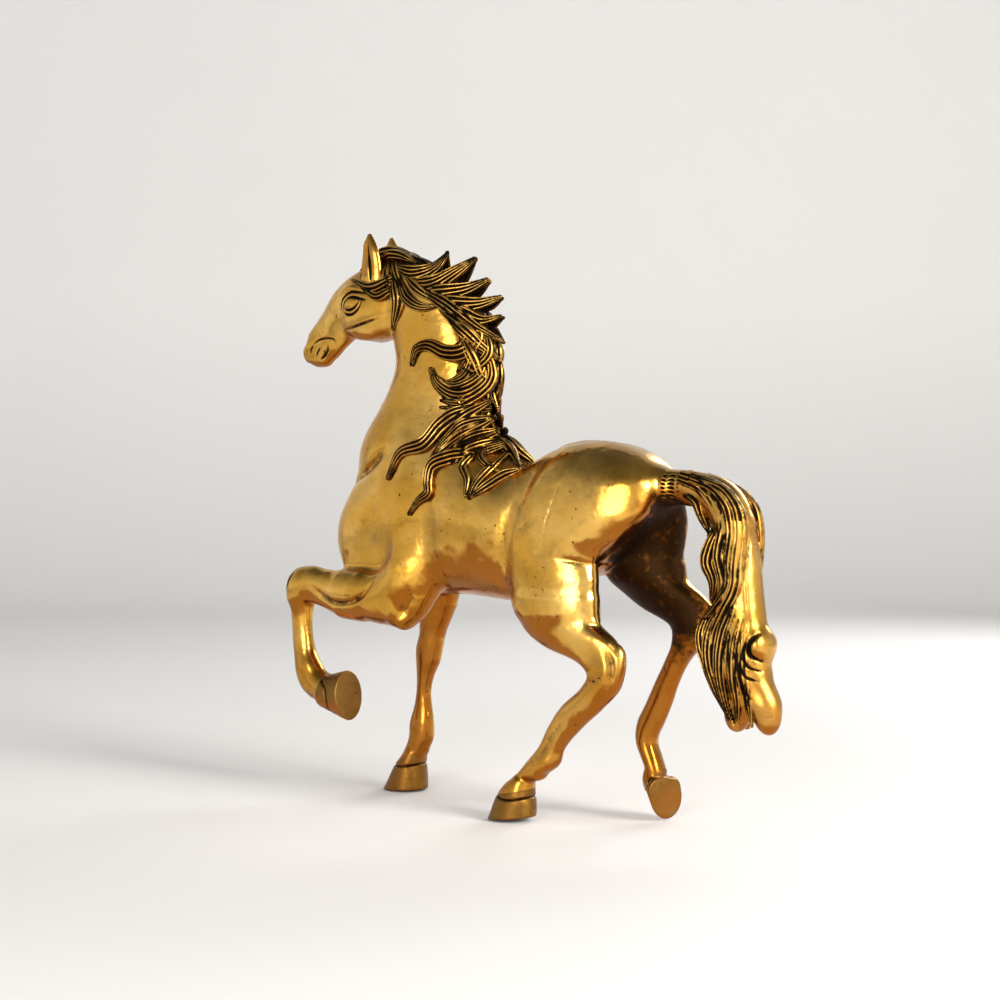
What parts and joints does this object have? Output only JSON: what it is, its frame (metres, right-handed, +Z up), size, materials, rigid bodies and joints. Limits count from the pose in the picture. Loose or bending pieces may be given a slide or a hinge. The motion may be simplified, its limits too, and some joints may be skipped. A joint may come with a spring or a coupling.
{
  "type": "brass horse statuette",
  "caption": "Free-standing cast brass statuette of a prancing horse with one foreleg raised, flowing mane and long tail.",
  "frame": {"origin": "on the resting surface, under the middle of the overall box", "axes": "+Z up, the horse faces -X and its left (near) side faces -Y"},
  "size_m": [0.2898, 0.0636, 0.2958],
  "materials": {
    "polished_brass": "hand-polished cast brass with faint brown mottling",
    "antiqued_brass": "cast brass, polished on the ridges and darkened in the grooves",
    "satin_brass": "filed satin brass, slightly tarnished"
  },
  "bodies": {
    "root": {"body_near_half": "polished_brass", "body_far_half": "polished_brass", "neck": "polished_brass", "head": "polished_brass", "near_ear": "polished_brass", "far_ear": "polished_brass", "forelock": "antiqued_brass", "crest_mane": "antiqued_brass", "near_mane_locks": "antiqued_brass", "far_mane_locks": "antiqued_brass", "withers_mane": "antiqued_brass", "near_foreleg": "polished_brass", "near_fore_hoof": "satin_brass", "far_foreleg": "polished_brass", "far_fore_hoof": "satin_brass", "near_hindleg": "polished_brass", "near_hind_hoof": "satin_brass", "far_hindleg": "polished_brass", "far_hind_hoof": "satin_brass", "tail_dock": "polished_brass", "tail_hair": "antiqued_brass"}
  },
  "joints": []
}
